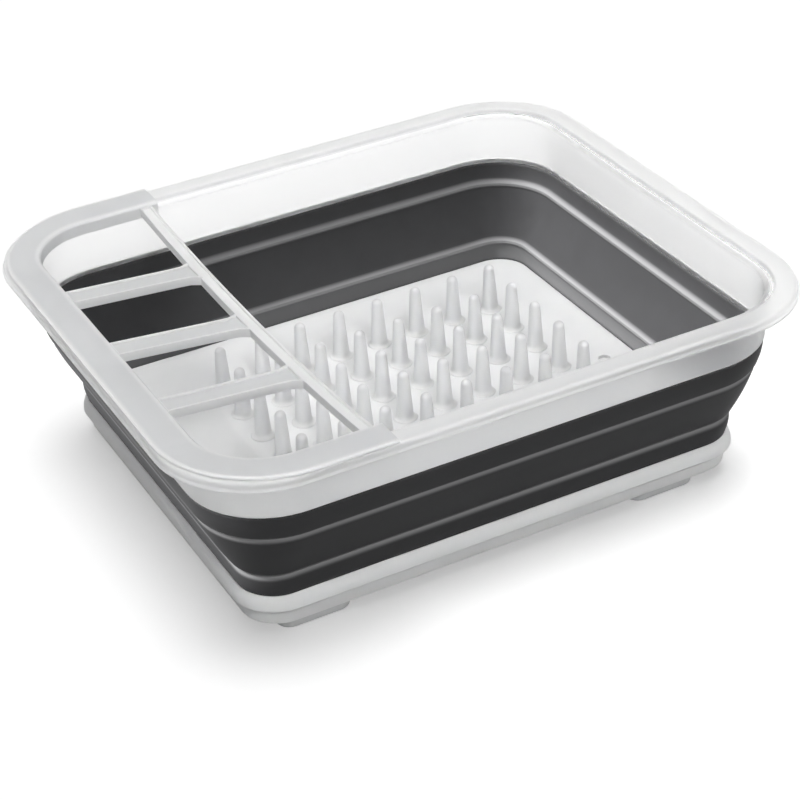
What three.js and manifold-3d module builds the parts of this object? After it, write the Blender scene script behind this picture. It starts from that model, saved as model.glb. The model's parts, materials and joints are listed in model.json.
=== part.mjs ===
// Collapsible dish drainer: a frosted rim frame with a cutlery rack over its left end, a folding
// rubber wall in three bands, and a pegged base tray on four feet. Millimetres, z up, long side on X.
import * as THREE from "three";
import Module from "manifold-3d";
import { mergeVertices } from "three/addons/utils/BufferGeometryUtils.js";

const wasm = await Module();
wasm.setup();

// Overall plan, measured over the rim's lip, and the stroke of the folding wall.
const LENGTH = 368;
const WIDTH = 322;
const RIM_CORNER = 57;
const FOLD_TRAVEL = 60;
const SEAM = 0.3;
const OVERRUN = 2;

// Heights of the stack, from the table up.
const FOOT_DROP = 5.5;
const SKIRT_DEPTH = 8.8;
const TRAY_LIP_DEPTH = 9;
const LOWER_BAND_HEIGHT = 13.2;
const MIDDLE_BAND_HEIGHT = 32.9;
const UPPER_BAND_HEIGHT = 15.8;
const COLLAR_HEIGHT = 31.3;

const skirtBottom = FOOT_DROP;
const trayLipBottom = skirtBottom + SKIRT_DEPTH;
const trayLedge = trayLipBottom + TRAY_LIP_DEPTH;
const foldTwo = trayLedge + LOWER_BAND_HEIGHT;
const foldOne = foldTwo + MIDDLE_BAND_HEIGHT;
const collarBottom = foldOne + UPPER_BAND_HEIGHT;
const rimTop = collarBottom + COLLAR_HEIGHT;

// Rim frame: a flat flange with a turned-down lip that flares at its foot, a step down to a low ledge
// inside it, and an upright collar.
const FLANGE_WIDTH = 18.3;
const FLANGE_WALL = 2.2;
const LIP_DROP = 5.3;
const LIP_WALL = 2.1;
const LIP_FLARE = 0.9;
const LIP_FLARE_HEIGHT = 2.5;
const EDGE_ROUND = 1.8;
const STEP_INSET = 12.6;
const STEP_RUN = 1.3;
const LEDGE_DROP = 2.9;
const LEDGE_NOSE = 1.2;
const COLLAR_INSET = 15.9;
const COLLAR_WALL = 2.1;
const COLLAR_CORNER = 45;
const LAP_HEIGHT = 2.4;

// Folding wall: its insets from the rim's outline and its corner radii at the two folds.
const BELLOWS_WALL = 2;
const FOLD_ONE_INSET = 19.3;
const FOLD_ONE_CORNER = 42;
const FOLD_TWO_INSET = 34.9;
const FOLD_TWO_CORNER = 22;
const WALL_BULGE = 0.9;

// Base tray: a flat pegged floor in a turned-down edge, a lip that carries the rubber, and a short skirt.
const TRAY_INSET = 36.2;
const TRAY_CORNER = 22;
const TRAY_LIP_OUT = 3.4;
const SKIRT_WALL = 2;
const SKIRT_INSET = 36.6;
const FLOOR_RISE = 1.2;
const FLOOR_WALL = 2.2;
const FLOOR_STEP_RISE = 0.8;
const FLOOR_STEP_INSET = 94.5;
const DRAIN_DIAMETER = 7;
const DRAIN_INSET = 57;
const DRAIN_Y = -18;

// Pegs, moulded with the floor in as many columns and rows as their field holds, eight and six here.
// Their tips stay below the folded rim.
const COLUMN_PITCH = 25.4;
const ROW_PITCH = 26.7;
const FIRST_COLUMN_INSET = 106;
const LAST_COLUMN_INSET = 84;
const ROWS_INSET = 94;
const ROWS_CENTRE_Y = 1.5;
const PEG_TIP_RADIUS = 3.2;
const PEG_BASE_RADIUS = 4.9;
const PAD_RADIUS = 7;
const PAD_RISE = 0.7;
const TIP_BELOW_RIM = 1.5;
const PEG_SIDES = 10;
const DRAIN_SIDES = 24;

// Feet: pads with a plug that is pushed into a hollow boss under the tray's floor.
const FOOT_LENGTH = 42;
const FOOT_DEPTH = 24;
const FOOT_CORNER = 8;
const FOOT_INSET = 38.2;
const FOOT_LEFT_INSET = 50;
const FOOT_RIGHT_INSET = 64;
const FOOT_TAPER = 1.5;
const BOSS_WALL = 2;
const PLUG_HEIGHT = 4;

// Cutlery rack: a thin flange over the rim's left end, a sagging crossbar and three sloping bars.
const RACK_WALL = 1.7;
const RACK_EDGE_INSET = 1.2;
const RACK_HOOK_DROP = 6;
const RACK_INNER_INSET = 21.5;
const RACK_CORNER = 63;
const RACK_INNER_CORNER = 37.5;
const RACK_END_INSET = 105;
const CROSSBAR_INSET = 97.6;
const CROSSBAR_WIDTH = 7.2;
const CROSSBAR_SAG = 6.9;
const BAR_COUNT = 3;
const BAR_PITCH = 64.5;
const BARS_CENTRE_Y = -1;
const BAR_WIDTH = 14;
const BAR_HEIGHT = 5;
const BAR_START_DROP = 1.6;
const GROOVE_DEPTH = 1;
const GROOVE_EDGE = 1.7;
const SAG_STEPS = 12;

const CORNER_STEPS = 8;
const MIDDLE_STEPS = 4;
const floorTop = trayLedge + FLOOR_RISE;

// A rounded rectangle's points, anticlockwise from the middle of its +X side.
function rounded(halfX, halfY, corner, centreX, centreY) {
  const points = [];
  for (const [signX, signY, quarter] of [[1, 1, 0], [-1, 1, 1], [-1, -1, 2], [1, -1, 3]]) {
    for (let step = 0; step <= CORNER_STEPS; step += 1) {
      const angle = (quarter + step / CORNER_STEPS) * Math.PI / 2;
      const x = centreX + signX * (halfX - corner) + corner * Math.cos(angle);
      const y = centreY + signY * (halfY - corner) + corner * Math.sin(angle);
      points.push([x, y]);
    }
  }
  return points;
}

// The rim's outline moved inwards by an inset, with a corner radius of its own.
function outline(inset, corner) {
  return rounded(LENGTH / 2 - inset, WIDTH / 2 - inset, corner, 0, 0);
}

// A skin over a stack of loops, each a list of points at one height. A ring's last loop joins its first;
// a capped stack is closed by flat ends.
function loft(levels, capped) {
  const around = levels[0].loop.length;
  const positions = [];
  const index = [];
  levels.forEach(({ loop, height }) => loop.forEach(([x, y]) => positions.push(x, y, height)));
  const spans = capped ? levels.length - 1 : levels.length;
  for (let level = 0; level < spans; level += 1) {
    const lower = level * around;
    const upper = (level + 1) % levels.length * around;
    for (let i = 0; i < around; i += 1) {
      const next = (i + 1) % around;
      index.push(lower + i, lower + next, upper + next, lower + i, upper + next, upper + i);
    }
  }
  const last = (levels.length - 1) * around;
  for (let i = 1; capped && i < around - 1; i += 1) {
    index.push(0, i + 1, i, last, last + i, last + i + 1);
  }
  const geometry = new THREE.BufferGeometry();
  geometry.setAttribute("position", new THREE.Float32BufferAttribute(positions, 3));
  geometry.setIndex(index);
  return geometry;
}

// A ring round the drainer. Its section's points are inset, height and corner radius, and run up the
// outer side, inwards over the top and down the inner side.
function ring(section) {
  return loft(section.map(([inset, height, corner]) => ({ loop: outline(inset, corner), height })), false);
}

// A flat plate of a rounded rectangle's shape, between two heights, inset from the rim's outline.
function plate(inset, corner, bottom, top) {
  const shape = new THREE.Shape(outline(inset, corner).map(([x, y]) => new THREE.Vector2(x, y)));
  const geometry = new THREE.ExtrudeGeometry(shape, { depth: top - bottom, bevelEnabled: false });
  geometry.translate(0, 0, bottom);
  return geometry;
}

function block(lowX, highX, lowY, highY, lowZ, highZ) {
  const geometry = new THREE.BoxGeometry(highX - lowX, highY - lowY, highZ - lowZ);
  geometry.translate((lowX + highX) / 2, (lowY + highY) / 2, (lowZ + highZ) / 2);
  return geometry;
}

function solid(geometry) {
  const plain = geometry.clone();
  plain.deleteAttribute("normal");
  plain.deleteAttribute("uv");
  const merged = mergeVertices(plain);
  return new wasm.Manifold(new wasm.Mesh({
    numProp: 3,
    vertProperties: new Float32Array(merged.attributes.position.array),
    triVerts: new Uint32Array(merged.index.array),
  }));
}

function geometryOf(manifold) {
  const mesh = manifold.getMesh();
  const geometry = new THREE.BufferGeometry();
  geometry.setAttribute("position", new THREE.Float32BufferAttribute(mesh.vertProperties, 3));
  geometry.setIndex(Array.from(mesh.triVerts));
  return geometry;
}

const frosted = new THREE.MeshStandardMaterial({ color: 0xe6e8e9, roughness: 0.35, metalness: 0 });
const frostedGrey = new THREE.MeshStandardMaterial({ color: 0xd2d5d6, roughness: 0.4, metalness: 0 });
const rubber = new THREE.MeshStandardMaterial({ color: 0x3c3c3e, roughness: 0.6, metalness: 0 });

const drainer = new THREE.Group();

function add(name, geometry, material) {
  const finished = geometry.index ? geometry.toNonIndexed() : geometry;
  finished.computeVertexNormals();
  const mesh = new THREE.Mesh(finished, material);
  mesh.name = name;
  drainer.add(mesh);
}

// Rim frame. The flange's corners are concentric with the outline, the collar's are rounder, and its
// lower edge is rebated for the rubber.
const flareTop = rimTop - LIP_DROP + LIP_FLARE_HEIGHT;
const ledge = rimTop - LEDGE_DROP;
const collarInner = COLLAR_INSET + COLLAR_WALL;
const lapInset = COLLAR_INSET + COLLAR_WALL / 2;
const collarInnerBottom = collarBottom - LAP_HEIGHT;
const collarInnerCorner = COLLAR_CORNER - COLLAR_WALL;
const lapCorner = COLLAR_CORNER - COLLAR_WALL / 2;
const rimSection = [
  [0, rimTop - LIP_DROP],
  [0, rimTop - LIP_DROP + LIP_FLARE],
  [LIP_FLARE, flareTop],
  [LIP_FLARE, rimTop - EDGE_ROUND],
  [LIP_FLARE + EDGE_ROUND, rimTop],
  [STEP_INSET, rimTop],
  [STEP_INSET + STEP_RUN, ledge],
  [FLANGE_WIDTH - LEDGE_NOSE / 2, ledge],
  [FLANGE_WIDTH, ledge - LEDGE_NOSE],
  [collarInner, ledge - LEDGE_NOSE * 2, collarInnerCorner],
  [collarInner, collarInnerBottom, collarInnerCorner],
  [lapInset, collarInnerBottom, lapCorner],
  [lapInset, collarBottom, lapCorner],
  [COLLAR_INSET, collarBottom, COLLAR_CORNER],
  [COLLAR_INSET, ledge - FLANGE_WALL, COLLAR_CORNER],
  [STEP_INSET, ledge - FLANGE_WALL],
  [STEP_INSET - STEP_RUN, rimTop - FLANGE_WALL],
  [LIP_WALL + EDGE_ROUND / 2, rimTop - FLANGE_WALL],
  [LIP_WALL, flareTop],
  [LIP_WALL, rimTop - LIP_DROP],
].map(([inset, height, corner]) => [inset, height, corner ?? RIM_CORNER - inset]);
add("rim_frame", ring(rimSection), frosted);

// Upper band of the rubber wall: lapped on the collar, turning inwards down to the first fold.
const foldOneInner = FOLD_ONE_INSET + BELLOWS_WALL;
const foldTwoInner = FOLD_TWO_INSET + BELLOWS_WALL;
const upperTurn = foldOne + UPPER_BAND_HEIGHT / 2;
const turnInset = (COLLAR_INSET * 2 + FOLD_ONE_INSET) / 3;
const turnCorner = (COLLAR_CORNER + FOLD_ONE_CORNER) / 2;
add("bellows_upper_band", ring([
  [FOLD_ONE_INSET, foldOne + SEAM / 2, FOLD_ONE_CORNER],
  [turnInset, upperTurn, turnCorner],
  [COLLAR_INSET, collarBottom - SEAM, COLLAR_CORNER],
  [lapInset - SEAM, collarBottom - SEAM, lapCorner + SEAM],
  [lapInset - SEAM, collarInnerBottom - SEAM, lapCorner + SEAM],
  [collarInner, collarInnerBottom - SEAM, collarInnerCorner],
  [turnInset + BELLOWS_WALL, upperTurn, turnCorner - BELLOWS_WALL],
  [foldOneInner, foldOne + SEAM / 2, FOLD_ONE_CORNER - BELLOWS_WALL],
]), rubber);

// Middle band: the tall one that turns over when the rim goes down; it swells a little outwards.
const middleStations = [];
for (let step = 1; step < MIDDLE_STEPS; step += 1) {
  const share = step / MIDDLE_STEPS;
  const bulge = WALL_BULGE * Math.sin(Math.PI * share);
  middleStations.push([
    FOLD_TWO_INSET + (FOLD_ONE_INSET - FOLD_TWO_INSET) * share - bulge,
    foldTwo + MIDDLE_BAND_HEIGHT * share,
    FOLD_TWO_CORNER + (FOLD_ONE_CORNER - FOLD_TWO_CORNER) * share,
  ]);
}
const inward = ([inset, height, corner]) => [inset + BELLOWS_WALL, height, corner - BELLOWS_WALL];
add("bellows_middle_band", ring([
  [FOLD_TWO_INSET, foldTwo + SEAM / 2, FOLD_TWO_CORNER],
  ...middleStations,
  [FOLD_ONE_INSET, foldOne - SEAM / 2, FOLD_ONE_CORNER],
  [foldOneInner, foldOne - SEAM / 2, FOLD_ONE_CORNER - BELLOWS_WALL],
  ...middleStations.map(inward).reverse(),
  [foldTwoInner, foldTwo + SEAM / 2, FOLD_TWO_CORNER - BELLOWS_WALL],
]), rubber);

// Lower band: almost upright, standing on the tray's ledge.
const lowerFoot = trayLedge + SEAM;
const lowerMiddle = (foldTwo + lowerFoot) / 2;
const lowerMiddleInset = (FOLD_TWO_INSET + TRAY_INSET) / 2 - WALL_BULGE / 2;
const trayInner = TRAY_INSET + BELLOWS_WALL;
add("bellows_lower_band", ring([
  [TRAY_INSET, lowerFoot, TRAY_CORNER],
  [lowerMiddleInset, lowerMiddle, TRAY_CORNER],
  [FOLD_TWO_INSET, foldTwo - SEAM / 2, FOLD_TWO_CORNER],
  [foldTwoInner, foldTwo - SEAM / 2, FOLD_TWO_CORNER - BELLOWS_WALL],
  [lowerMiddleInset + BELLOWS_WALL, lowerMiddle, TRAY_CORNER - BELLOWS_WALL],
  [trayInner, lowerFoot, TRAY_CORNER - BELLOWS_WALL],
]), rubber);

// Base tray: edge ring with the sloping lip and the skirt, floor, raised floor under the rack, and pegs.
const lipInset = TRAY_INSET - TRAY_LIP_OUT;
const edgeInner = trayInner + SEAM;
const skirtInner = SKIRT_INSET + SKIRT_WALL;
const floorBottom = floorTop - FLOOR_WALL;
const floorInset = edgeInner + SKIRT_WALL;
const edgeSection = [
  [SKIRT_INSET, skirtBottom],
  [SKIRT_INSET, trayLipBottom],
  [lipInset, trayLipBottom + TRAY_LIP_DEPTH / 9],
  [lipInset, trayLipBottom + TRAY_LIP_DEPTH / 3],
  [lipInset + TRAY_LIP_OUT / 3, trayLedge - TRAY_LIP_DEPTH / 4],
  [TRAY_INSET - SEAM, trayLedge],
  [edgeInner, trayLedge],
  [edgeInner, floorTop],
  [floorInset, floorTop],
  [floorInset, floorBottom],
  [skirtInner, floorBottom],
  [skirtInner, skirtBottom],
].map(([inset, height]) => [inset, height, TRAY_CORNER + TRAY_INSET - inset]);
const floorCorner = TRAY_CORNER + TRAY_INSET - edgeInner;
const overlapInset = edgeInner + SKIRT_WALL / 2;
const overlapCorner = floorCorner - SKIRT_WALL / 2;
let tray = solid(ring(edgeSection)).add(solid(plate(overlapInset, overlapCorner, floorBottom, floorTop)));
const raisedFoot = floorTop - FLOOR_WALL / 2;
const raised = solid(plate(overlapInset, overlapCorner, raisedFoot, floorTop + FLOOR_STEP_RISE));
const floorStepX = FLOOR_STEP_INSET - LENGTH / 2;
const leftPart = solid(block(-LENGTH, floorStepX, -WIDTH, WIDTH, 0, rimTop));
tray = tray.add(raised.intersect(leftPart));

const pegTip = rimTop - FOLD_TRAVEL - TIP_BELOW_RIM;
const tipStart = pegTip - PEG_TIP_RADIUS;
const pegProfile = [
  [0, floorTop - FLOOR_WALL / 2],
  [PAD_RADIUS, floorTop - FLOOR_WALL / 2],
  [PAD_RADIUS, floorTop + PAD_RISE / 2],
  [PAD_RADIUS - PAD_RISE, floorTop + PAD_RISE],
  [PEG_BASE_RADIUS, floorTop + PAD_RISE * 2],
  [PEG_TIP_RADIUS, tipStart],
  [PEG_TIP_RADIUS * Math.cos(Math.PI / 4), tipStart + PEG_TIP_RADIUS * Math.sin(Math.PI / 4)],
  [0, pegTip],
].map(([radius, height]) => new THREE.Vector2(radius, height));
const peg = new THREE.LatheGeometry(pegProfile, PEG_SIDES);
peg.rotateX(Math.PI / 2);
const pegSolid = solid(peg);
const columnGaps = Math.floor((LENGTH - FIRST_COLUMN_INSET - LAST_COLUMN_INSET) / COLUMN_PITCH);
const rowGaps = Math.floor((WIDTH - ROWS_INSET * 2) / ROW_PITCH);
for (let column = 0; column <= columnGaps; column += 1) {
  for (let row = 0; row <= rowGaps; row += 1) {
    const x = FIRST_COLUMN_INSET - LENGTH / 2 + COLUMN_PITCH * column;
    const y = ROWS_CENTRE_Y + ROW_PITCH * (rowGaps / 2 - row);
    tray = tray.add(pegSolid.translate([x, y, 0]));
  }
}
const drainDepth = FLOOR_WALL + OVERRUN * 2;
const drain = new THREE.CylinderGeometry(DRAIN_DIAMETER / 2, DRAIN_DIAMETER / 2, drainDepth, DRAIN_SIDES);
drain.rotateX(Math.PI / 2);
drain.translate(LENGTH / 2 - DRAIN_INSET, DRAIN_Y, floorTop - FLOOR_WALL / 2);
tray = tray.subtract(solid(drain));

// The feet's plan, drawn in by a margin, at one of the tray's four corners.
function footLoop(centreX, side, margin) {
  const centreY = side * (WIDTH / 2 - FOOT_INSET - FOOT_DEPTH / 2);
  return rounded(FOOT_LENGTH / 2 - margin, FOOT_DEPTH / 2 - margin, FOOT_CORNER - margin, centreX, centreY);
}
const footLeftX = FOOT_LEFT_INSET + FOOT_LENGTH / 2 - LENGTH / 2;
const footRightX = LENGTH / 2 - FOOT_RIGHT_INSET - FOOT_LENGTH / 2;
const footPlaces = [
  ["foot_front_left", footLeftX, -1],
  ["foot_front_right", footRightX, -1],
  ["foot_back_left", footLeftX, 1],
  ["foot_back_right", footRightX, 1],
];
for (const [, x, side] of footPlaces) {
  const bossTop = floorBottom + FLOOR_WALL / 2;
  const boss = loft([
    { loop: footLoop(x, side, 0), height: skirtBottom },
    { loop: footLoop(x, side, 0), height: bossTop },
    { loop: footLoop(x, side, BOSS_WALL), height: bossTop },
    { loop: footLoop(x, side, BOSS_WALL), height: skirtBottom },
  ], false);
  tray = tray.add(solid(boss));
}
add("base_tray", geometryOf(tray), frostedGrey);

const padTop = skirtBottom - SEAM;
const plugMargin = BOSS_WALL + SEAM;
for (const [name, x, side] of footPlaces) {
  add(name, loft([
    { loop: footLoop(x, side, FOOT_TAPER), height: 0 },
    { loop: footLoop(x, side, 0), height: FOOT_TAPER },
    { loop: footLoop(x, side, 0), height: padTop },
    { loop: footLoop(x, side, plugMargin), height: padTop },
    { loop: footLoop(x, side, plugMargin), height: padTop + PLUG_HEIGHT },
  ], true), frostedGrey);
}

// Cutlery rack. Its flange lies on the rim's flange and hooks down inside the opening.
const rackUnder = rimTop + SEAM;
const rackTop = rackUnder + RACK_WALL;
const rackHook = rimTop - RACK_HOOK_DROP;
const hookOuter = RACK_INNER_INSET - RACK_WALL;
const rackSection = [
  [RACK_EDGE_INSET, rackUnder, RACK_CORNER],
  [RACK_EDGE_INSET, rackTop - RACK_WALL / 2, RACK_CORNER],
  [RACK_EDGE_INSET + RACK_WALL / 2, rackTop, RACK_CORNER - RACK_WALL / 2],
  [RACK_INNER_INSET - RACK_WALL, rackTop],
  [RACK_INNER_INSET - RACK_WALL / 4, rackUnder + RACK_WALL / 2],
  [RACK_INNER_INSET, rimTop - RACK_WALL / 2],
  [RACK_INNER_INSET, rackHook],
  [hookOuter, rackHook],
  [hookOuter, rackUnder],
].map(([inset, height, corner]) => [inset, height, corner ?? RACK_INNER_CORNER + RACK_INNER_INSET - inset]);
let rack = solid(ring(rackSection)).intersect(
  solid(block(-LENGTH, RACK_END_INSET - LENGTH / 2, -WIDTH, WIDTH, 0, rackTop + OVERRUN)),
);

// A bar of the rack: its side view, given as points along the bar with the height of its upper edge,
// pushed out to its width, with a shallow groove left between two edges.
function barSolid(stations, width, place) {
  const band = (raise, drop, half) => {
    const upper = stations.map(([along, height]) => new THREE.Vector2(along, height + raise));
    const lower = stations.map(([along, height]) => new THREE.Vector2(along, height - drop)).reverse();
    const shape = new THREE.Shape([...upper, ...lower]);
    const geometry = new THREE.ExtrudeGeometry(shape, { depth: half * 2, bevelEnabled: false });
    geometry.translate(0, 0, -half);
    return geometry;
  };
  const body = solid(place(band(0, BAR_HEIGHT, width / 2)));
  const groove = solid(place(band(OVERRUN, GROOVE_DEPTH, width / 2 - GROOVE_EDGE)));
  return body.subtract(groove);
}

const crossbarX = CROSSBAR_INSET - LENGTH / 2;
const crossbarEnd = WIDTH / 2 - RACK_INNER_INSET + RACK_WALL / 2;
const sagAt = (y) => rimTop + SEAM - CROSSBAR_SAG * (1 - (y / crossbarEnd) ** 2);
const crossStations = [];
for (let step = 0; step <= SAG_STEPS; step += 1) {
  const y = crossbarEnd * (step / SAG_STEPS * 2 - 1);
  crossStations.push([y, sagAt(y)]);
}
const alongY = (geometry) => {
  geometry.rotateX(Math.PI / 2);
  geometry.rotateZ(Math.PI / 2);
  geometry.translate(crossbarX, 0, 0);
  return geometry;
};
rack = rack.add(barSolid(crossStations, CROSSBAR_WIDTH, alongY));
const barStart = -LENGTH / 2 + RACK_INNER_INSET - RACK_WALL / 2;
const barEnd = crossbarX - CROSSBAR_WIDTH / 2 + GROOVE_EDGE;
for (let bar = 0; bar < BAR_COUNT; bar += 1) {
  const y = BARS_CENTRE_Y + BAR_PITCH * ((BAR_COUNT - 1) / 2 - bar);
  const stations = [[barStart, rackTop - BAR_START_DROP], [barEnd, sagAt(y)]];
  const alongX = (geometry) => {
    geometry.rotateX(Math.PI / 2);
    geometry.translate(0, y, 0);
    return geometry;
  };
  rack = rack.add(barSolid(stations, BAR_WIDTH, alongX));
}
add("cutlery_rack", geometryOf(rack), frosted);

export default drainer;
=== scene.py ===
import json
import math

import bmesh
import bpy
from mathutils import Matrix, Vector

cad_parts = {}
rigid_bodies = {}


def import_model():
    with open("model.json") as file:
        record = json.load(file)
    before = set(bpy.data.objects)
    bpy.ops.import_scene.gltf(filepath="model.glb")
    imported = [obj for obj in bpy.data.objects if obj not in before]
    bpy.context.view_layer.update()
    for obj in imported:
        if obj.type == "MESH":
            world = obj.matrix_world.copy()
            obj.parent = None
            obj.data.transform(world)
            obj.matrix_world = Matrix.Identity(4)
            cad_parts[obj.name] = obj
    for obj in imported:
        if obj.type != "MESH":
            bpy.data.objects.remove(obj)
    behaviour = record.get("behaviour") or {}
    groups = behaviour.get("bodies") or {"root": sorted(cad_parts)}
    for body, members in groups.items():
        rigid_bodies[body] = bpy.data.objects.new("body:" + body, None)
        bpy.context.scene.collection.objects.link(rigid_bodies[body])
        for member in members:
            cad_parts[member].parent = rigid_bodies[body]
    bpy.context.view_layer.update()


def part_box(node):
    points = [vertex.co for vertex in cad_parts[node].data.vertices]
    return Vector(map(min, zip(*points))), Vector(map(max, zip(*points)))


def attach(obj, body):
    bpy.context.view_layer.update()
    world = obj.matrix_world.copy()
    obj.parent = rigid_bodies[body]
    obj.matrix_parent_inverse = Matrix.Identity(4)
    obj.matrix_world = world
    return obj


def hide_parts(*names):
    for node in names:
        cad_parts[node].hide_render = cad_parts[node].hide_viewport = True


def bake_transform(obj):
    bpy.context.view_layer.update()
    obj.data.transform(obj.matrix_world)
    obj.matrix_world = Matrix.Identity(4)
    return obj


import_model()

# The base tray is one moulding of frosted polypropylene: a flat floor with a turned-down edge, a
# sloping lip that the rubber stands on, a short skirt, and rows of hollow pegs that hold plates up.
# Its left end, under the cutlery, is raised by less than a millimetre.
MM = 0.001
CORNER_SEGMENTS = 16
ROUNDING_SEGMENTS = 3
SHARP_ANGLE = math.radians(28)
MELD = 1e-7
rim_low, rim_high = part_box("rim_frame")
tray_low, tray_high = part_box("base_tray")
lower_low, lower_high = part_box("bellows_lower_band")
SEAM = 0.3 * MM
tray_ledge = lower_low.z - SEAM
TRAY_CORNER = 58.2
FLOOR_RISE = 1.2 * MM
FLOOR_WALL = 2.2 * MM
STEP_RISE = 0.8 * MM
STEP_X = rim_low.x + 94.5 * MM
DRAIN_RADIUS = 3.5 * MM
DRAIN_PLACE = (rim_high.x - 57 * MM, -18 * MM)
TRAY_FLOOR_INSET = 40.5
TRAY_UNDERSIDE_INSET = 38.6


def round_loop(bm, station, place=(0, 0)):
    """The edges of a rectangle with round corners, lying flat. A station is half its length, half its
    width, its corners' radius and its height."""
    half_x, half_y, corner, height = station
    known = set(bm.edges)
    sheet = bmesh.ops.create_grid(bm, x_segments=1, y_segments=1, size=1)["verts"]
    bmesh.ops.scale(bm, verts=sheet, vec=(half_x, half_y, 1))
    bmesh.ops.translate(bm, verts=sheet, vec=(place[0], place[1], height))
    bmesh.ops.bevel(bm, geom=sheet, affect="VERTICES", offset=corner, segments=CORNER_SEGMENTS,
                    profile=0.5, material=-1)
    edges = [e for e in bm.edges if e not in known]
    bmesh.ops.delete(bm, geom=edges[0].link_faces[:], context="FACES_ONLY")
    return edges


def skin(bm, stations, place=(0, 0), ring=True):
    """A skin drawn from station to station, and back to the first for a ring. Returns its loops."""
    loops = [round_loop(bm, stations[0], place)]
    centre = Vector((*place, 0))
    for old, new in zip(stations, stations[1:] + stations[:ring]):
        drawn = bmesh.ops.extrude_edge_only(bm, edges=loops[-1])["geom"]
        verts = {v for v in drawn if isinstance(v, bmesh.types.BMVert)}
        for vert in verts:
            spot = vert.co - centre
            for axis in (0, 1):
                round_part = (abs(spot[axis]) - old[axis] + old[2]) * new[2] / old[2]
                spot[axis] = math.copysign(new[axis] - new[2] + round_part, spot[axis])
            spot.z = new[3]
            vert.co = spot + centre
        loops.append([e for e in drawn if isinstance(e, bmesh.types.BMEdge) and verts.issuperset(e.verts)])
    if ring:
        loops.pop()
        bmesh.ops.remove_doubles(bm, verts=bm.verts[:], dist=MELD)
    return loops


def inset_station(inset, height, corner):
    """A station round the drainer: the rim's outline drawn in by an inset, both in millimetres."""
    return rim_high.x - inset * MM, rim_high.y - inset * MM, corner * MM, height


def painted_light_skin(bm, stations, ring=True):
    """A skin whose stations end with the painted highlight and glow put there, kept on its corners as an
    attribute.
    """
    pale = bm.verts.layers.float.new("pale")
    stations = stations + stations[:ring]
    loops = skin(bm, [station[:4] for station in stations], ring=False)
    for loop, station in zip(loops, stations):
        for edge in loop:
            for vert in edge.verts:
                vert[pale] = station[4]
    bmesh.ops.remove_doubles(bm, verts=bm.verts[:], dist=MELD)


def take_in(bm, part):
    """Adds a finished part to the moulding that it belongs to."""
    carried = bpy.data.meshes.new("carried")
    part.to_mesh(carried)
    part.free()
    bm.from_mesh(carried)
    bpy.data.meshes.remove(carried)


def mesh_piece(name, bm, material, rounding=0.0):
    """The finished mesh as an object, smooth, with its sharp edges rounded off."""
    bmesh.ops.recalc_face_normals(bm, faces=bm.faces[:])
    for face in bm.faces:
        face.smooth = True
    mesh = bpy.data.meshes.new(name)
    bm.to_mesh(mesh)
    bm.free()
    mesh.materials.append(material)
    piece = bpy.data.objects.new(name, mesh)
    bpy.context.scene.collection.objects.link(piece)
    if rounding:
        bevel = piece.modifiers.new("rounded_edges", "BEVEL")
        bevel.width = rounding
        bevel.segments = ROUNDING_SEGMENTS
        bevel.limit_method = "ANGLE"
        bevel.angle_limit = SHARP_ANGLE
        bevel.harden_normals = True
    return piece


def node(tree, kind, **inputs):
    """A shader node with its inputs set to values or linked to other nodes' outputs."""
    made = tree.nodes.new(kind)
    for name, value in inputs.items():
        socket = made.inputs[name.replace("_", " ")]
        if isinstance(value, bpy.types.NodeSocket):
            tree.links.new(value, socket)
        else:
            socket.default_value = value
    return made


def shade(tree, factor, dark, light):
    """A colour between two, by a factor."""
    mix = node(tree, "ShaderNodeMix")
    mix.data_type = "RGBA"
    tree.links.new(factor, mix.inputs["Factor"])
    for name, colour in (("A", dark), ("B", light)):
        if isinstance(colour, bpy.types.NodeSocket):
            tree.links.new(colour, mix.inputs[name])
        else:
            mix.inputs[name].default_value = colour
    return mix.outputs["Result"]


def between(tree, factor, low, high):
    """A level between two, by a factor."""
    return node(tree, "ShaderNodeMapRange", Value=factor, To_Min=low, To_Max=high).outputs["Result"]


def painted_light_mask(tree):
    """How much painted light, highlight and glow, the corners put on the surface here."""
    pale = tree.nodes.new("ShaderNodeAttribute")
    pale.attribute_name = "pale"
    return pale.outputs["Fac"]


def frosted_plastic(name, dark, light, roughness, glow, clear=0.0):
    """Cloudy moulded polypropylene: milky inside, part of it clear enough to show what lies behind, with
    faint flow marks and a fine etched grain. Where its corners carry painted light it is painted whiter and
    less clear: a painted highlight, mostly along its edges, and a painted glow at the pegs' feet."""
    material = bpy.data.materials.new(name)
    material.use_nodes = True
    tree = material.node_tree
    surface = tree.nodes["Principled BSDF"]
    place = tree.nodes.new("ShaderNodeTexCoord").outputs["Object"]
    flow = node(tree, "ShaderNodeTexNoise", Vector=place, Scale=22.0, Detail=4.0, Distortion=0.6)
    grain = node(tree, "ShaderNodeTexNoise", Vector=place, Scale=1400.0, Detail=2.0)
    clouded = shade(tree, flow.outputs["Fac"], dark, light)
    # painted highlight: the colour is drawn towards white where the corners carry painted light
    tree.links.new(shade(tree, painted_light_mask(tree), clouded, EDGE_HIGHLIGHT_WHITE), surface.inputs["Base Color"])
    worn = between(tree, flow.outputs["Fac"], roughness - 0.06, roughness + 0.06)
    tree.links.new(worn, surface.inputs["Roughness"])
    etch = node(tree, "ShaderNodeBump", Height=grain.outputs["Fac"], Strength=0.12, Distance=0.0002)
    tree.links.new(etch.outputs["Normal"], surface.inputs["Normal"])
    surface.inputs["IOR"].default_value = 1.3
    if clear:
        seen_through = between(tree, painted_light_mask(tree), clear, clear * EDGE_HIGHLIGHT_CLEAR_SHARE)
        tree.links.new(seen_through, surface.inputs["Transmission Weight"])
    surface.inputs["Subsurface Weight"].default_value = glow
    surface.inputs["Subsurface Radius"].default_value = (0.006, 0.006, 0.0065)
    surface.inputs["Subsurface Scale"].default_value = 1.0
    return material


# The white of the painted highlight, and the share of the clearness that the highlighted places keep.
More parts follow.
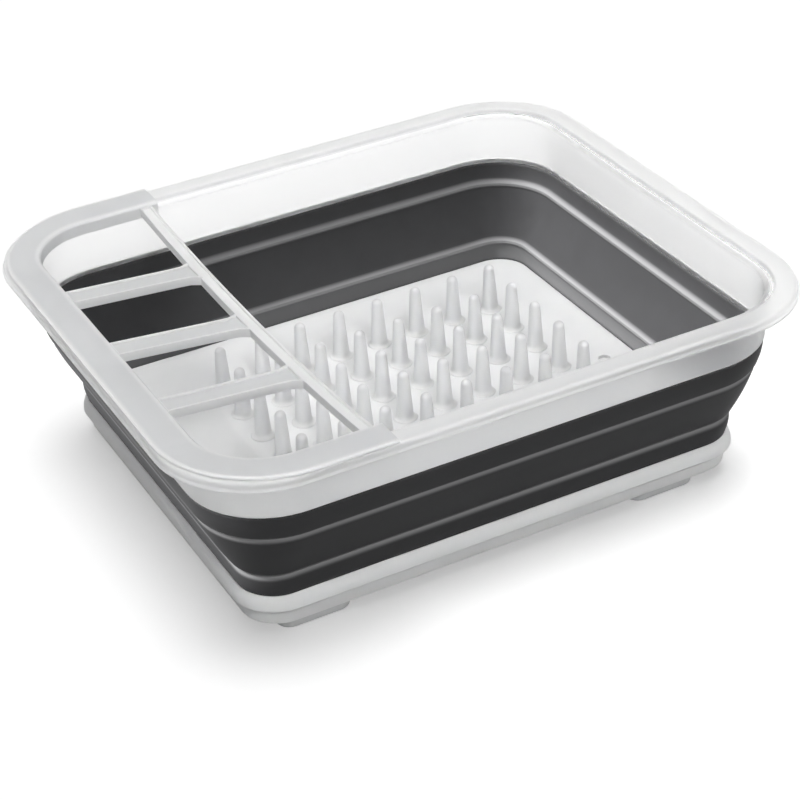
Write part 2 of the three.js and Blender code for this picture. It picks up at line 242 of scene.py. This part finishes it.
EDGE_HIGHLIGHT_WHITE = (0.97, 0.97, 0.97, 1)
EDGE_HIGHLIGHT_CLEAR_SHARE = 0.3
TRAY_DARK = (0.84, 0.845, 0.85, 1)
TRAY_LIGHT = (0.93, 0.933, 0.936, 1)
tray_plastic = frosted_plastic("frosted_tray_plastic", TRAY_DARK, TRAY_LIGHT, roughness=0.38, glow=0.3)

bm = bmesh.new()
floor_top = tray_ledge + FLOOR_RISE
floor_bottom = floor_top - FLOOR_WALL
skirt_bottom = tray_low.z
edge_loops = skin(bm, [
    inset_station(inset, height, TRAY_CORNER - inset)
    for inset, height in [
        (TRAY_FLOOR_INSET, floor_top),
        (38.5, floor_top),
        (38.5, tray_ledge),
        (35.9, tray_ledge),
        (35.3, tray_ledge - 0.6 * MM),
        (33.9, tray_ledge - 2.6 * MM),
        (33.0, tray_ledge - 5.2 * MM),
        (32.8, tray_ledge - 7.6 * MM),
        (33.6, tray_ledge - 8.6 * MM),
        (36.6, tray_ledge - 9.0 * MM),
        (36.9, skirt_bottom),
        (TRAY_UNDERSIDE_INSET, skirt_bottom),
        (TRAY_UNDERSIDE_INSET, floor_bottom),
    ]
], ring=False)
drain_loops = []
for height in (floor_top, floor_bottom):
    circle = bmesh.ops.create_circle(bm, segments=32, radius=DRAIN_RADIUS)["verts"]
    bmesh.ops.translate(bm, verts=circle, vec=(*DRAIN_PLACE, height))
    drain_loops.append([e for e in bm.edges if e.verts[0] in circle and e.verts[1] in circle])
bmesh.ops.bridge_loops(bm, edges=drain_loops[0] + drain_loops[1])
bmesh.ops.triangle_fill(bm, edges=edge_loops[0] + drain_loops[0], use_beauty=True)
bmesh.ops.triangle_fill(bm, edges=edge_loops[-1] + drain_loops[1], use_beauty=True)

# the raised left end of the floor
raised = bmesh.new()
raised_corner = TRAY_CORNER - TRAY_FLOOR_INSET
raised_loops = skin(raised, [inset_station(TRAY_FLOOR_INSET - 1, floor_top - STEP_RISE, raised_corner),
                             inset_station(TRAY_FLOOR_INSET - 1, floor_top + STEP_RISE, raised_corner)],
                    ring=False)
for loop in raised_loops:
    bmesh.ops.edgeloop_fill(raised, edges=loop)
cut = bmesh.ops.bisect_plane(raised, geom=raised.verts[:] + raised.edges[:] + raised.faces[:],
                             dist=1e-6, plane_co=(STEP_X, 0, 0), plane_no=(1, 0, 0), clear_outer=True)
bmesh.ops.edgeloop_fill(raised, edges=[e for e in cut["geom_cut"] if isinstance(e, bmesh.types.BMEdge)])
take_in(bm, raised)

# the bosses under the floor that take the feet
FEET = ["foot_front_left", "foot_front_right", "foot_back_left", "foot_back_right"]
FOOT_CORNER = 8 * MM
BOSS_WALL = 2 * MM
for foot in FEET:
    foot_low, foot_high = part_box(foot)
    half = (foot_high - foot_low) / 2
    middle = (foot_high + foot_low) / 2
    boss_top = floor_bottom + FLOOR_WALL / 2
    boss = bmesh.new()
    skin(boss, [(half.x - margin, half.y - margin, FOOT_CORNER - margin, height) for margin, height in
                [(0, skirt_bottom), (0, boss_top), (BOSS_WALL, boss_top), (BOSS_WALL, skirt_bottom)]],
         place=(middle.x, middle.y))
    take_in(bm, boss)
tray = mesh_piece("tray", bm, tray_plastic, rounding=0.4 * MM)
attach(tray, "base")
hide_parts("base_tray")

# The pegs rise from the tray's floor, in the same shot of plastic on the real drainer, eight across
# and six deep; they are hollow there, but drawn solid here. Each is a blunt cone with a round tip, on a low
# round pad.
COLUMN_PITCH = 25.4 * MM
ROW_PITCH = 26.7 * MM
FIRST_COLUMN_X = rim_low.x + 106 * MM
ROWS_CENTRE_Y = 1.5 * MM
PEG_TIP = 3.2
PEG_BASE = 4.9
PAD_RADIUS = 7.0
PEG_SIDES = 24
PEG_COLUMNS = 8
PEG_ROWS = 6
PEG_DARK = (0.62, 0.625, 0.63, 1)
PEG_LIGHT = (0.77, 0.774, 0.778, 1)
TIP_PAINTED_LIGHT = 0.25
peg_height = (tray_high.z - floor_top) / MM
bm = bmesh.new()
# The third column is painted glow: the pad and the peg's foot are painted whitest, fading up to the tip.
outline = [(0, -1.0, 0.6), (PAD_RADIUS, -1.0, 0.6), (PAD_RADIUS, 0.3, 0.7), (PAD_RADIUS - 0.5, 0.7, 0.8),
           (PEG_BASE + 0.9, 0.9, 0.7), (PEG_BASE + 0.2, 1.6, 0.5), (PEG_BASE - 0.1, 3.0, 0.3)]
for degrees in (0, 18, 36, 54, 72, 90):
    turn = math.radians(degrees)
    outline.append((PEG_TIP * math.cos(turn), peg_height - PEG_TIP * (1 - math.sin(turn)), TIP_PAINTED_LIGHT))
pale = bm.verts.layers.float.new("pale")
corners = []
for across, up, whiteness in outline:
    corner = bm.verts.new((across * MM, 0, floor_top + up * MM))
    corner[pale] = whiteness
    corners.append(corner)
sides = [bm.edges.new(pair) for pair in zip(corners, corners[1:])]
bmesh.ops.spin(bm, geom=corners + sides, axis=(0, 0, 1), cent=(0, 0, 0), steps=PEG_SIDES,
               angle=math.tau, use_merge=True)
bmesh.ops.remove_doubles(bm, verts=bm.verts[:], dist=1e-6)
first = bm.verts[:] + bm.edges[:] + bm.faces[:]
for column in range(PEG_COLUMNS):
    for row in range(PEG_ROWS):
        row_y = ROWS_CENTRE_Y + ROW_PITCH * ((PEG_ROWS - 1) / 2 - row)
        spot = Vector((FIRST_COLUMN_X + COLUMN_PITCH * column, row_y, 0))
        copied = bmesh.ops.duplicate(bm, geom=first)["geom"]
        bmesh.ops.translate(bm, verts=[v for v in copied if isinstance(v, bmesh.types.BMVert)], vec=spot)
bmesh.ops.delete(bm, geom=[v for v in first if isinstance(v, bmesh.types.BMVert)], context="VERTS")
peg_plastic = frosted_plastic("frosted_peg_plastic", PEG_DARK, PEG_LIGHT, roughness=0.34, glow=0.45)
pegs = mesh_piece("pegs", bm, peg_plastic)
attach(pegs, "base")

# The feet are separate soft pads. Each has a plug that is pushed into the boss above it, and a
# rounded lower edge.
FOOT_ROUND = 1.5 * MM
FOOT_DARK = (0.68, 0.685, 0.69, 1)
FOOT_LIGHT = (0.76, 0.765, 0.77, 1)
foot_rubber = frosted_plastic("foot_rubber", FOOT_DARK, FOOT_LIGHT, roughness=0.5, glow=0.2)
for foot in FEET:
    foot_low, foot_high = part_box(foot)
    half = (foot_high - foot_low) / 2
    middle = (foot_high + foot_low) / 2
    pad_top = skirt_bottom - SEAM
    plug = BOSS_WALL + SEAM
    bm = bmesh.new()
    levels = []
    for degrees in (0, 30, 60, 90):
        turn = math.radians(degrees)
        levels.append((FOOT_ROUND * (1 - math.sin(turn)), FOOT_ROUND * (1 - math.cos(turn))))
    levels += [(0, pad_top), (plug, pad_top), (plug, foot_high.z)]
    pad_loops = skin(bm, [(half.x - margin, half.y - margin, FOOT_CORNER - margin, height)
                          for margin, height in levels], place=(middle.x, middle.y), ring=False)
    bmesh.ops.edgeloop_fill(bm, edges=pad_loops[0])
    bmesh.ops.edgeloop_fill(bm, edges=pad_loops[-1])
    pad = mesh_piece(foot.replace("foot", "pad"), bm, foot_rubber, rounding=0.25 * MM)
    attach(pad, "base")
    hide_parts(foot)

# The lower band of the folding wall is soft charcoal rubber, moulded on to the tray's ledge. It
# stands almost upright and swells a little; its upper edge is the lower fold's rounded shoulder. Its
# inside is painted paler all over, a painted glow for the light thrown on it by the tray's white floor.
middle_low, middle_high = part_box("bellows_middle_band")
upper_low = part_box("bellows_upper_band")[0]
fold_two = (lower_high.z + middle_low.z) / 2
fold_one = (middle_high.z + upper_low.z) / 2


def charcoal_rubber(name, dark, light, roughness):
    """Soft moulded rubber: near black, a little dusty, and painted paler where its corners carry painted
    light.
    """
    material = bpy.data.materials.new(name)
    material.use_nodes = True
    tree = material.node_tree
    surface = tree.nodes["Principled BSDF"]
    place = tree.nodes.new("ShaderNodeTexCoord").outputs["Object"]
    dust = node(tree, "ShaderNodeTexNoise", Vector=place, Scale=60.0, Detail=5.0, Distortion=0.3)
    grain = node(tree, "ShaderNodeTexNoise", Vector=place, Scale=1600.0, Detail=2.0)
    plain = shade(tree, dust.outputs["Fac"], dark, light)
    # painted highlight along the folds, and painted glow on the lower band's inside
    tree.links.new(shade(tree, painted_light_mask(tree), plain, CREASE_HIGHLIGHT_COLOUR), surface.inputs["Base Color"])
    worn = between(tree, dust.outputs["Fac"], roughness - 0.05, roughness + 0.05)
    tree.links.new(worn, surface.inputs["Roughness"])
    etch = node(tree, "ShaderNodeBump", Height=grain.outputs["Fac"], Strength=0.15, Distance=0.0002)
    tree.links.new(etch.outputs["Normal"], surface.inputs["Normal"])
    surface.inputs["Specular IOR Level"].default_value = 0.1
    return material


# The colour that the painted highlight along the folds draws the rubber towards.
CREASE_HIGHLIGHT_COLOUR = (0.4, 0.4, 0.405, 1)
RUBBER_DARK = (0.036, 0.036, 0.037, 1)
RUBBER_LIGHT = (0.047, 0.047, 0.049, 1)
rubber = charcoal_rubber("charcoal_rubber", RUBBER_DARK, RUBBER_LIGHT, roughness=0.6)


def rubber_band(name, section):
    """A ring of the folding wall. Its stations are inset, height, corner and how much painted light it
    carries.
    """
    bm = bmesh.new()
    painted_light_skin(bm, [(*inset_station(*place), pale) for *place, pale in section])
    return mesh_piece(name, bm, rubber)


# How the wall is drawn in at a fold, outside and inside: millimetres from the fold, millimetres
# inwards, and how much painted highlight lies there along the fold's bead and groove. The upper fold
# slants, so that its outer groove lies mostly under the fold and its inner bead mostly over it.
PLAIN = [(0.0, 0.0, 0.0)]
FOLD_TWO_OUTSIDE = [(0.02, 0.9, 0.6), (0.8, 0.75, 0.55), (1.5, 0.4, 0.35), (2.2, 0.1, 0.1), (3.0, 0.0, 0.0)]
FOLD_TWO_INSIDE = [(0.02, 1.2, 0.5), (0.8, 1.1, 0.5), (1.4, 0.75, 0.4), (2.1, 0.3, 0.2), (2.9, 0.0, 0.0)]
OUTSIDE_UNDER = [(0.02, 0.9, 0.6), (1.0, 0.9, 0.6), (1.9, 0.6, 0.45), (2.8, 0.2, 0.12), (3.6, 0.0, 0.0)]
OUTSIDE_OVER = [(0.02, 0.9, 0.55), (0.5, 0.6, 0.3), (1.1, 0.25, 0.1), (1.8, 0.0, 0.0)]
INSIDE_UNDER = [(0.02, 1.2, 0.5), (0.5, 0.9, 0.3), (1.1, 0.4, 0.1), (1.8, 0.0, 0.0)]
INSIDE_OVER = [(0.02, 1.2, 0.5), (1.2, 1.2, 0.5), (2.2, 0.9, 0.4), (3.0, 0.4, 0.2), (3.8, 0.0, 0.0)]


def wall_side(bottom, top, swell, steps, below=PLAIN, above=PLAIN):
    """Stations up one side of a band, from its inset, height and corner at the bottom to those at the
    top, swelling outwards between them, with the fold that it has at either end."""
    span = (top[1] - bottom[1]) / MM
    even = [(span * step / steps, 0.0, 0.0) for step in range(1, steps)]
    marks = below + [mark for mark in even if below[-1][0] < mark[0] < span - above[-1][0]]
    marks += [(span - away, inwards, pale) for away, inwards, pale in reversed(above)]
    stations = []
    for up, inwards, pale in marks:
        share = up / span
        inset, height, corner = (a + (b - a) * share for a, b in zip(bottom, top))
        inwards -= swell * math.sin(math.pi * share)
        stations.append((inset + inwards, height, corner - inwards, pale))
    return stations


def inner(place):
    """The same place on the inside of the wall."""
    inset, height, corner = place
    return inset + WALL, height, corner - WALL


WALL = 2.0
LOWER_INSIDE_PAINTED_GLOW = 0.2
LOWER_SWELL = 0.8
LOWER_OUT = 36.2
FOLD_TWO_OUT = 34.9
FOLD_CORNER_TWO = 22
lower_foot = (LOWER_OUT, lower_low.z, FOLD_CORNER_TWO)
second_fold = (FOLD_TWO_OUT, fold_two, FOLD_CORNER_TWO)
outside = wall_side(lower_foot, second_fold, LOWER_SWELL, steps=6, above=FOLD_TWO_OUTSIDE)
# the inside carries at least this painted glow
inside = [(*place, max(pale, LOWER_INSIDE_PAINTED_GLOW)) for *place, pale in
          wall_side(inner(lower_foot), inner(second_fold), LOWER_SWELL, steps=6, above=FOLD_TWO_INSIDE)]
lower_band = rubber_band("rubber_lower_band", outside + inside[::-1])
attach(lower_band, "base")
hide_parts("bellows_lower_band")

# The middle band is the tall one. It leans outwards from the lower fold to the upper one. On the real
# drainer it rolls over itself when the rim is pushed down; here it stands as drawn.
FOLD_ONE_OUT = 19.3
FOLD_CORNER_ONE = 42
MIDDLE_SWELL = 1.0
first_fold = (FOLD_ONE_OUT, fold_one, FOLD_CORNER_ONE)
outside = wall_side(second_fold, first_fold, MIDDLE_SWELL, steps=14, below=FOLD_TWO_OUTSIDE,
                    above=OUTSIDE_UNDER)
inside = wall_side(inner(second_fold), inner(first_fold), MIDDLE_SWELL, steps=14, below=FOLD_TWO_INSIDE,
                   above=INSIDE_UNDER)
middle_band = rubber_band("rubber_middle_band", outside + inside[::-1])
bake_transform(middle_band)
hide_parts("bellows_middle_band")

# The upper band is bonded to the lower edge of the rim's collar. It swells out under the collar and
# turns in to the upper fold.
COLLAR_INSET = 15.9
LAP = 2.4 * MM
collar_bottom = rim_low.z + LAP
upper_top = collar_bottom - SEAM
COLLAR_CORNER = 45
OUTER_SWELL = 0.9
INNER_SWELL = 0.7
LAP_INSET = 1.0
upper_edge = (COLLAR_INSET + 0.2, upper_top, COLLAR_CORNER)
outside = wall_side(first_fold, upper_edge, OUTER_SWELL, steps=8, below=OUTSIDE_OVER)
lap_bottom = rim_low.z - SEAM
lap = [(COLLAR_INSET + LAP_INSET, height, COLLAR_CORNER - LAP_INSET, 0) for height in (upper_top, lap_bottom)]
inner_edge = (COLLAR_INSET + 2.1, lap_bottom, COLLAR_CORNER - 2)
inside = wall_side(inner(first_fold), inner_edge, INNER_SWELL, steps=8, below=INSIDE_OVER)
upper_band = rubber_band("rubber_upper_band", outside + lap + inside[::-1])
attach(upper_band, "rim")
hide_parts("bellows_upper_band")

# The rim frame is frosted polypropylene: a flat raised flange with a turned-down lip outside and a
# low ledge inside, on an upright collar that carries the rubber.
RIM_CORNER = 57
RIM_DARK = (0.94, 0.943, 0.946, 1)
RIM_LIGHT = (0.99, 0.99, 0.99, 1)
rim_plastic = frosted_plastic("frosted_plastic", RIM_DARK, RIM_LIGHT, roughness=0.42, glow=0.3, clear=0.93)
# The third column is painted highlight: the lip, the flange's top and the ledge's edge are painted whiter, as
# are the collar's lower edge and the lip's underside.
rim_section = [
    (0.1, -5.0, 0.7), (0.0, -4.4, 0.9), (0.1, -3.8, 0.7), (0.7, -3.3, 0.1), (0.9, -2.8, 0.0),
    (0.9, -1.8, 0.0), (1.2, -0.9, 0.5), (1.8, -0.3, 1.0), (2.8, 0.0, 0.8), (4.2, 0.0, 0.5),
    (11.4, 0.0, 0.5), (12.4, 0.0, 0.8), (13.1, -0.3, 0.8), (13.4, -0.9, 0.3), (13.6, -2.2, 0.0),
    (14.0, -2.8, 0.2), (17.0, -3.0, 0.3), (17.6, -3.1, 0.6), (18.2, -3.5, 0.8), (18.3, -4.1, 0.4),
    (18.0, -4.8, 0.0), (17.6, -5.4, 0.0),
]
collar_section = [
    (1.7, rim_high.z - 9 * MM, 0.0), (2.1, rim_low.z + 0.4 * MM, 0.2), (1.9, rim_low.z, 0.2),
    (1.1, rim_low.z, 0.0), (1.1, collar_bottom, 0.0), (0.1, collar_bottom, 0.2),
    (-0.3, collar_bottom + 0.5 * MM, 0.5), (-0.2, collar_bottom + 1.6 * MM, 0.1),
    (-0.2, rim_high.z - 8 * MM, 0.0), (-0.5, rim_high.z - 3.4 * MM, 0.0),
]
underside_section = [
    (14.6, -2.6, 0.0), (3.2, -2.2, 0.0), (2.4, -2.6, 0.0), (2.1, -3.4, 0.0), (1.6, -5.0, 0.2),
    (0.9, -5.3, 0.5),
]


def flange_stations(section):
    """Stations of the rim's flange, concentric with its outline: inset, rise above its top, paleness."""
    return [(*inset_station(inset, rim_high.z + rise * MM, RIM_CORNER - inset), pale)
            for inset, rise, pale in section]


bm = bmesh.new()
collar_stations = [(*inset_station(COLLAR_INSET + inset, height, COLLAR_CORNER - inset), pale)
                   for inset, height, pale in collar_section]
painted_light_skin(bm, flange_stations(rim_section) + collar_stations + flange_stations(underside_section))
rim = mesh_piece("rim", bm, rim_plastic)
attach(rim, "rim")
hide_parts("rim_frame")

# The cutlery rack is a lift-off frosted moulding: a thin flange that lies on the rim's left end and
# hooks inside it, a sagging crossbar between its two arms, and three sloping bars from the flange.
RACK_CORNER = 63
RACK_LIP_WIDTH = 4
RACK_INNER_CORNER = RIM_CORNER + 2
rack_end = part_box("cutlery_rack")[1].x
RACK_DARK = (0.73, 0.735, 0.74, 1)
RACK_LIGHT = (0.86, 0.865, 0.87, 1)
rack_plastic = frosted_plastic("frosted_rack_plastic", RACK_DARK, RACK_LIGHT, roughness=0.5, glow=0.3,
                               clear=0.4)
# The third column is painted highlight: the flange's outer edge, its inner edge and the hook's foot are
# painted whiter.
rack_section = [
    (1.3, 0.3, 0.4), (1.0, 0.9, 0.7), (1.3, 1.6, 0.9), (2.1, 2.0, 1.0), (3.2, 1.9, 0.5), (4.6, 1.9, 0.0),
    (17.6, 1.9, 0.0), (18.8, 1.9, 0.5), (20.2, 1.6, 0.9), (21.2, 0.6, 0.5), (21.5, -0.8, 0.1),
    (21.5, -5.2, 0.1), (21.5, -5.8, 0.6), (21.2, -6.0, 0.6), (20.1, -6.0, 0.4), (19.8, -5.8, 0.0),
    (19.8, -1.0, 0.0), (19.4, 0.1, 0.0), (18.6, 0.3, 0.0),
]
bm = bmesh.new()
painted_light_skin(bm, [(*inset_station(inset, rim_high.z + rise * MM,
                               (RACK_CORNER if inset < RACK_LIP_WIDTH else RACK_INNER_CORNER) - inset), pale)
               for inset, rise, pale in rack_section])
cut = bmesh.ops.bisect_plane(bm, geom=bm.verts[:] + bm.edges[:] + bm.faces[:], dist=1e-6,
                             plane_co=(rack_end, 0, 0), plane_no=(1, 0, 0), clear_outer=True)
cut_edges = [e for e in cut["geom_cut"] if isinstance(e, bmesh.types.BMEdge)]
for side in (-1, 1):
    bmesh.ops.edgeloop_fill(bm, edges=[e for e in cut_edges if e.verts[0].co.y * side > 0])


def channel_bar(length, width, height, cuts, sides_painted_light):
    """A bar along X from the origin with a shallow groove along its top and a hollow underside."""
    bm = bmesh.new()
    cube = bmesh.ops.create_cube(bm, size=1)["verts"]
    bmesh.ops.scale(bm, verts=cube, vec=(length, width, height))
    bmesh.ops.translate(bm, verts=cube, vec=(length / 2, 0, -height / 2))
    bm.normal_update()
    faces = {f for v in cube for f in v.link_faces}
    top = [f for f in faces if f.normal.z > 0.9]
    under = [f for f in faces if f.normal.z < -0.9]
    bmesh.ops.inset_region(bm, faces=top, thickness=1.7 * MM, depth=0)
    bmesh.ops.inset_region(bm, faces=top, thickness=0.5 * MM, depth=-1.0 * MM)
    bmesh.ops.inset_region(bm, faces=under, thickness=1.3 * MM, depth=0)
    bmesh.ops.inset_region(bm, faces=under, thickness=0.3 * MM, depth=-2.6 * MM)
    # Painted highlight: the rims of the top are painted whiter, and the groove and the sides less, by the
    # bar's own share.
    pale = bm.verts.layers.float.new("pale")
    for vert in bm.verts:
        vert[pale] = 0.9 if vert.co.z > -0.1 * MM else sides_painted_light
    lengthwise = [e for e in bm.edges if abs(e.verts[0].co.x - e.verts[1].co.x) > length / 2]
    bmesh.ops.subdivide_edges(bm, edges=lengthwise, cuts=cuts, use_grid_fill=True)
    return bm


CROSSBAR_X = rim_low.x + 97.6 * MM
CROSSBAR_WIDTH = 7.2 * MM
CROSSBAR_SAG = 6.9 * MM
BAR_WIDTH = 14 * MM
BAR_HEIGHT = 5 * MM
BAR_PITCH = 64.5 * MM
BARS_CENTRE_Y = -1 * MM
BAR_LIFT = 0.4 * MM
BAR_OVERLAP = 1.0 * MM
FLARE_START = 0.88
FLARE_WIDENING = 0.45
ARM_WIDTH = 20.6 * MM
crossbar_half = rim_high.y - ARM_WIDTH
crossbar_top = rim_high.z + SEAM


def sag(y):
    """How far the crossbar hangs below its ends."""
    return CROSSBAR_SAG * (1 - (y / crossbar_half) ** 2)


crossbar = channel_bar(crossbar_half * 2, CROSSBAR_WIDTH, BAR_HEIGHT, cuts=27, sides_painted_light=0.9)
bmesh.ops.rotate(crossbar, verts=crossbar.verts, cent=(0, 0, 0), matrix=Matrix.Rotation(math.pi / 2, 3, "Z"))
bmesh.ops.translate(crossbar, verts=crossbar.verts, vec=(CROSSBAR_X, -crossbar_half, crossbar_top))
for vert in crossbar.verts:
    vert.co.z -= sag(vert.co.y)
take_in(bm, crossbar)
bar_start = rim_low.x + ARM_WIDTH
bar_length = CROSSBAR_X - CROSSBAR_WIDTH / 2 + BAR_OVERLAP - bar_start
for place in (-1, 0, 1):
    bar_y = BARS_CENTRE_Y + BAR_PITCH * place
    bar = channel_bar(bar_length, BAR_WIDTH, BAR_HEIGHT, cuts=11, sides_painted_light=0.2)
    start_z = rim_high.z + BAR_LIFT
    end_z = crossbar_top - sag(bar_y)
    for vert in bar.verts:
        share = vert.co.x / bar_length
        flare = max(0.0, (share - FLARE_START) / (1 - FLARE_START)) ** 2
        vert.co.y *= 1 + FLARE_WIDENING * flare
        vert.co.z += start_z + (end_z - start_z) * share
    bmesh.ops.translate(bar, verts=bar.verts, vec=(bar_start, bar_y, 0))
    take_in(bm, bar)
rack = mesh_piece("rack", bm, rack_plastic, rounding=0.45 * MM)
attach(rack, "rack")
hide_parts("cutlery_rack")

# The studio floor is a plain pale sheet. It shows white where nothing shades it, keeps the drainer's
# soft shadow, and throws little light back up.
FLOOR_REACH = 6
FLOOR_LIFT = 0.45
PAPER_UNSEEN = (0.3, 0.3, 0.3, 1)
PAPER_SEEN = (0.78, 0.78, 0.78, 1)
bm = bmesh.new()
bmesh.ops.create_grid(bm, x_segments=1, y_segments=1, size=FLOOR_REACH)
sheet = bpy.data.meshes.new("studio_floor")
bm.to_mesh(sheet)
bm.free()
studio_floor = bpy.data.objects.new("studio_floor", sheet)
bpy.context.scene.collection.objects.link(studio_floor)


def seen_directly(tree):
    """One where the camera sees the studio, itself, in a gloss or through the plastic, and else nought."""
    rays = tree.nodes.new("ShaderNodeLightPath")
    seen = rays.outputs["Is Camera Ray"]
    for way in ("Is Glossy Ray", "Is Transmission Ray"):
        either = node(tree, "ShaderNodeMath")
        either.operation = "MAXIMUM"
        tree.links.new(seen, either.inputs[0])
        tree.links.new(rays.outputs[way], either.inputs[1])
        seen = either.outputs[0]
    return seen


paper = bpy.data.materials.new("studio_paper")
paper.use_nodes = True
tree = paper.node_tree
tree.nodes.remove(tree.nodes["Principled BSDF"])
lift = node(tree, "ShaderNodeMath")
lift.operation = "MULTIPLY"
tree.links.new(seen_directly(tree), lift.inputs[0])
lift.inputs[1].default_value = FLOOR_LIFT
glow = node(tree, "ShaderNodeEmission", Strength=lift.outputs[0])
paper_colour = shade(tree, seen_directly(tree), PAPER_UNSEEN, PAPER_SEEN)
matt = node(tree, "ShaderNodeBsdfDiffuse", Color=paper_colour)
both = tree.nodes.new("ShaderNodeAddShader")
tree.links.new(glow.outputs[0], both.inputs[0])
tree.links.new(matt.outputs[0], both.inputs[1])
tree.links.new(both.outputs[0], tree.nodes["Material Output"].inputs["Surface"])
studio_floor.data.materials.append(paper)

# The light is a white studio: a dim even room and soft lamps, each turned on to what it is meant for.
# One stands over the floor, one to the left and one overhead for the plastic, one high to the left for the
# rubber, and one beside the camera for the whole drainer.
ROOM_LEVEL = 0.12
world = bpy.data.worlds.new("studio")
bpy.context.scene.world = world
world.use_nodes = True
tree = world.node_tree
room = tree.nodes["Background"]
room.inputs["Color"].default_value = (1, 1, 1, 1)
tree.links.new(between(tree, seen_directly(tree), ROOM_LEVEL, 1.0), room.inputs["Strength"])


def studio_lamp(name, towards, energy, softness):
    """A distant lamp in a direction from the drainer; its softness is its width in degrees."""
    lamp_data = bpy.data.lights.new(name, "SUN")
    lamp_data.energy = energy
    lamp_data.angle = math.radians(softness)
    lamp = bpy.data.objects.new(name, lamp_data)
    lamp.rotation_euler = Vector(towards).to_track_quat("Z", "Y").to_euler()
    bpy.context.scene.collection.objects.link(lamp)
    return lamp


pads = [piece for piece in bpy.data.objects if piece.name.startswith("pad")]
plastic_pieces = [tray, pegs, rim, rack] + pads
rubber_pieces = [lower_band, middle_band, upper_band]
all_pieces = plastic_pieces + rubber_pieces
base_pieces = [tray, lower_band, middle_band] + pads
solid_pieces = rubber_pieces + [tray, pegs] + pads
for name, towards, energy, softness, lit, shading in [
        ("floor_softbox", (0.16, 0.15, 0.975), 2.0, 44, [studio_floor], base_pieces),
        ("left_softbox", (-0.78, -0.15, 0.6), 0.45, 24, plastic_pieces, solid_pieces),
        ("top_softbox", (-0.05, 0.05, 0.99), 1.25, 24, plastic_pieces, solid_pieces + [rack]),
        ("rubber_softbox", (-0.6, 0.25, 0.76), 9.0, 30, rubber_pieces, all_pieces),
        ("camera_side_lamp", (-0.05, -0.78, 0.62), 1.5, 24, all_pieces, all_pieces)]:
    linking = studio_lamp(name, towards, energy, softness).light_linking
    linking.receiver_collection = bpy.data.collections.new("lit_by_" + name)
    linking.blocker_collection = bpy.data.collections.new("shading_" + name)
    for piece in lit:
        linking.receiver_collection.objects.link(piece)
    for piece in shading:
        linking.blocker_collection.objects.link(piece)

# The camera stands in front and to the left of the drainer, looking down on it, as the photograph's did.
LOOK_AT = Vector((-0.01836, -0.03961, 0.0565))
AZIMUTH = math.radians(-26.28)
ELEVATION = math.radians(32.16)
ROLL = math.radians(-3.43)
DISTANCE = 1.2096
SENSOR_WIDTH = 36
FOCAL_LENGTH = 99.9
camera_data = bpy.data.cameras.new("photograph")
camera_data.sensor_width = SENSOR_WIDTH
camera_data.lens = FOCAL_LENGTH
camera = bpy.data.objects.new("photograph", camera_data)
bpy.context.scene.collection.objects.link(camera)
turned = Matrix.Rotation(AZIMUTH, 4, "Z") @ Matrix.Rotation(math.pi / 2 - ELEVATION, 4, "X")
turned = turned @ Matrix.Rotation(ROLL, 4, "Z")
camera.matrix_world = Matrix.Translation(LOOK_AT) @ turned @ Matrix.Translation((0, 0, DISTANCE))
bpy.context.scene.camera = camera
bpy.context.scene.view_settings.view_transform = "Standard"
